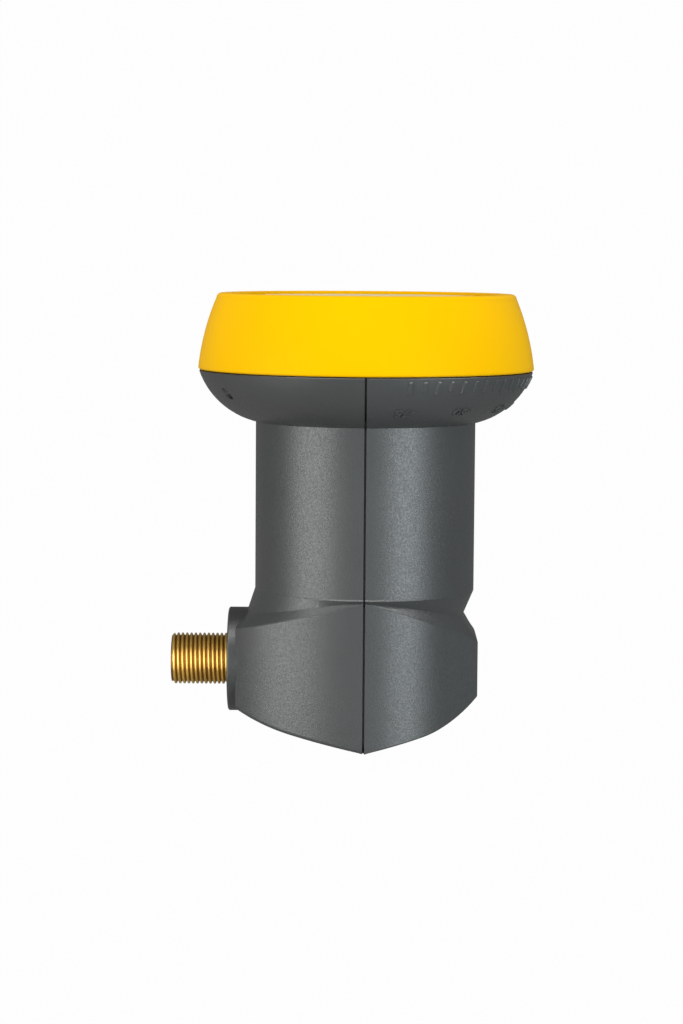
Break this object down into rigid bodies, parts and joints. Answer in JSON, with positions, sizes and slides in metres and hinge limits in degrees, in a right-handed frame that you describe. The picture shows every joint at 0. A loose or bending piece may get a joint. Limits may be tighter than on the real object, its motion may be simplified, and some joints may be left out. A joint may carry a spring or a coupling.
{
  "type": "satellite lnb",
  "caption": "Dish feed converter with a round cap over its horn, a plain clamp neck, a keel-shaped electronics housing and a side coaxial connector.",
  "frame": {"origin": "middle of the 40 mm clamp neck, on the feed axis", "axes": "+Z along the feed axis towards the cap, -X along the connector, parting plane at X = 0"},
  "size_m": [0.0657, 0.061, 0.0811],
  "materials": {
    "yellow_plastic": "satin moulded polypropylene",
    "pale_disc": "blank matt film",
    "grey_plastic": "fine-textured satin moulding",
    "seal_rubber": "soft rubber",
    "die_casting": "as-cast, lightly grained",
    "lid_metal": "as-cast",
    "board_laminate": "solder mask over laminate",
    "screw_steel": "zinc-plated",
    "probe_plating": "gold-flashed",
    "chip_epoxy": "moulded epoxy",
    "crystal_can": "plated can",
    "coil_ferrite": "ferrite",
    "capacitor_ceramic": "ceramic with tinned ends",
    "connector_brass": "bright turned brass",
    "insulator_plastic": "natural polymer",
    "contact_plating": "plated spring bronze"
  },
  "bodies": {
    "root": {"feed_cap": "yellow_plastic", "front_label": "pale_disc", "cap_seal": "seal_rubber", "connector_side_shell": "grey_plastic", "plain_side_shell": "grey_plastic", "feed_casting": "die_casting", "circuit_board": "board_laminate", "cover_gasket": "seal_rubber", "tray_cover": "lid_metal", "cover_screws": "screw_steel", "horizontal_probe": "probe_plating", "vertical_probe": "probe_plating", "horizontal_amplifier": "chip_epoxy", "vertical_amplifier": "chip_epoxy", "mixer_chip": "chip_epoxy", "reference_crystal": "crystal_can", "voltage_regulator": "chip_epoxy", "filter_coil": "coil_ferrite", "capacitors": "capacitor_ceramic", "f_connector_body": "connector_brass", "connector_gasket": "seal_rubber", "connector_insulator": "insulator_plastic", "connector_contact": "contact_plating"}
  },
  "joints": []
}
